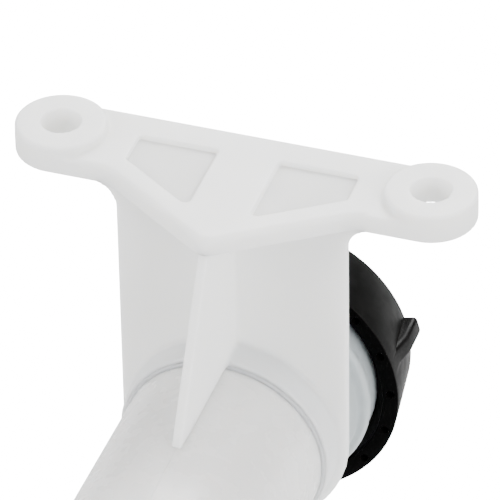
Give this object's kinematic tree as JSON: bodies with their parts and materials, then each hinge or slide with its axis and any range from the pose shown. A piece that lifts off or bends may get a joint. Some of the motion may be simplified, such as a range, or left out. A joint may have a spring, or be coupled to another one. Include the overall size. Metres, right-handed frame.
{
  "type": "bracketed filler neck with screw cap",
  "caption": "Moulded filler neck on a bolt-on bracket with a web and gusset, a hose elbow below and a lugged screw cap over the threaded mouth.",
  "frame": {"origin": "midway between the two bolt holes, on the plane of the raised pads' top faces", "axes": "+X along the two bolt holes, +Y along the filler neck towards the cap, +Z out of the bolt pads"},
  "size_m": [0.0944, 0.1281, 0.1295],
  "materials": {
    "milky_moulding": "satin",
    "glossy_tube": "gloss",
    "black_cap": "satin",
    "liner_rubber": "matte"
  },
  "bodies": {
    "bracket": {"bracket_body": "milky_moulding", "elbow_tube": "glossy_tube"},
    "liner": {"cap_liner": "liner_rubber"},
    "cap": {"cap_shell": "black_cap"}
  },
  "joints": [
    {"name": "cap_lift", "type": "slide", "parent": "bracket", "child": "liner", "axis": [0, 1, 0], "range_m": [0, 0.007]},
    {"name": "cap_turn", "type": "hinge", "parent": "liner", "child": "cap", "pos_m": [0, 0.0084, -0.0615], "axis": [0, 1, 0], "range_deg": [0, 630.2]}
  ],
  "couplings": [
    {"joint": "cap_turn", "follows": "cap_lift", "rad_per_m": 1570.8}
  ]
}
